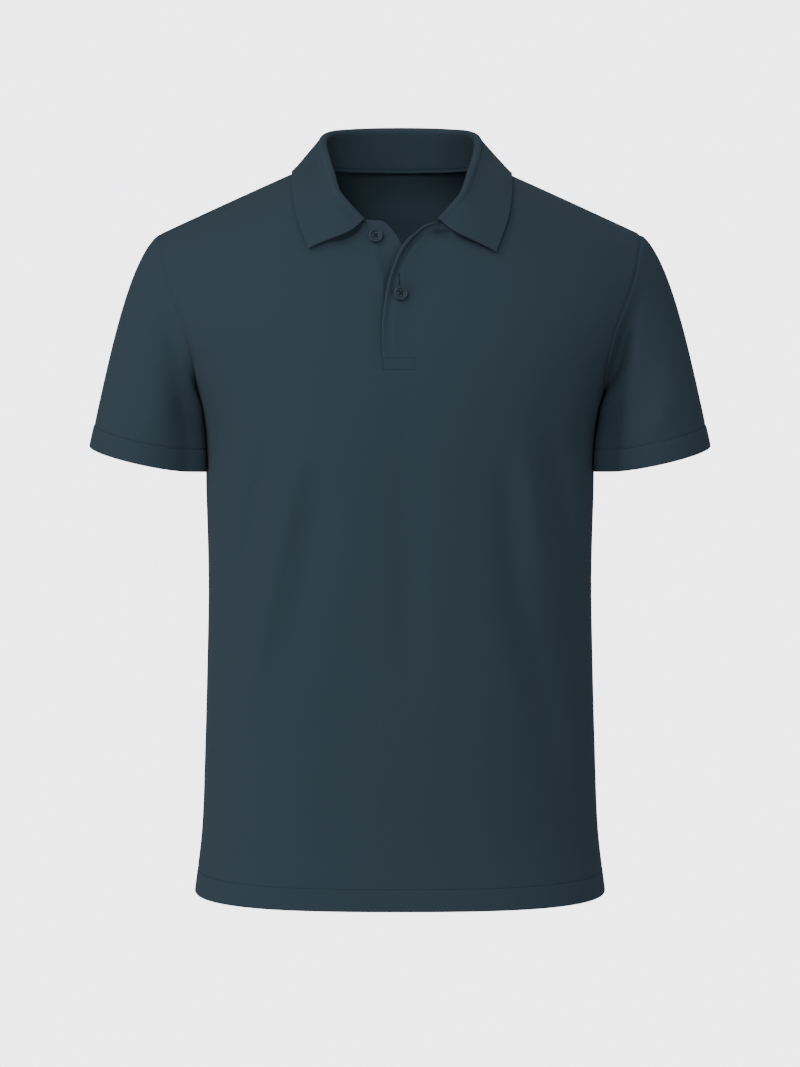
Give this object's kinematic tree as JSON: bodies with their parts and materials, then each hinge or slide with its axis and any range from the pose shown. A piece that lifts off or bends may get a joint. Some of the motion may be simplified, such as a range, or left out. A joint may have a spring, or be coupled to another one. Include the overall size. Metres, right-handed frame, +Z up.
{
  "type": "polo shirt",
  "caption": "Short-sleeved knitted polo shirt with a ribbed fold-down collar, ribbed cuffs and an open buttoned placket, filled out as if worn.",
  "frame": {"origin": "middle of the neck opening, level with the high points of the shoulders, where the wearer holds the shirt up", "axes": "+Z up along the body, front of the shirt towards -Y, +X towards the wearer's left sleeve"},
  "size_m": [0.5928, 0.249, 0.7287],
  "materials": {
    "pique": "matte pique knit, dark slate blue",
    "rib": "matte flat rib knit, dark slate blue",
    "tape": "matte woven tape, dark slate blue",
    "button": "satin moulded plastic, dark slate blue"
  },
  "bodies": {
    "root": {"front": "pique", "back": "pique", "sleeve_left": "pique", "sleeve_right": "pique", "cuff_left": "rib", "cuff_right": "rib", "collar": "rib", "placket_facing": "pique", "placket_under": "pique", "neck_tape": "tape", "button_top": "button", "button_lower": "button"}
  },
  "joints": []
}
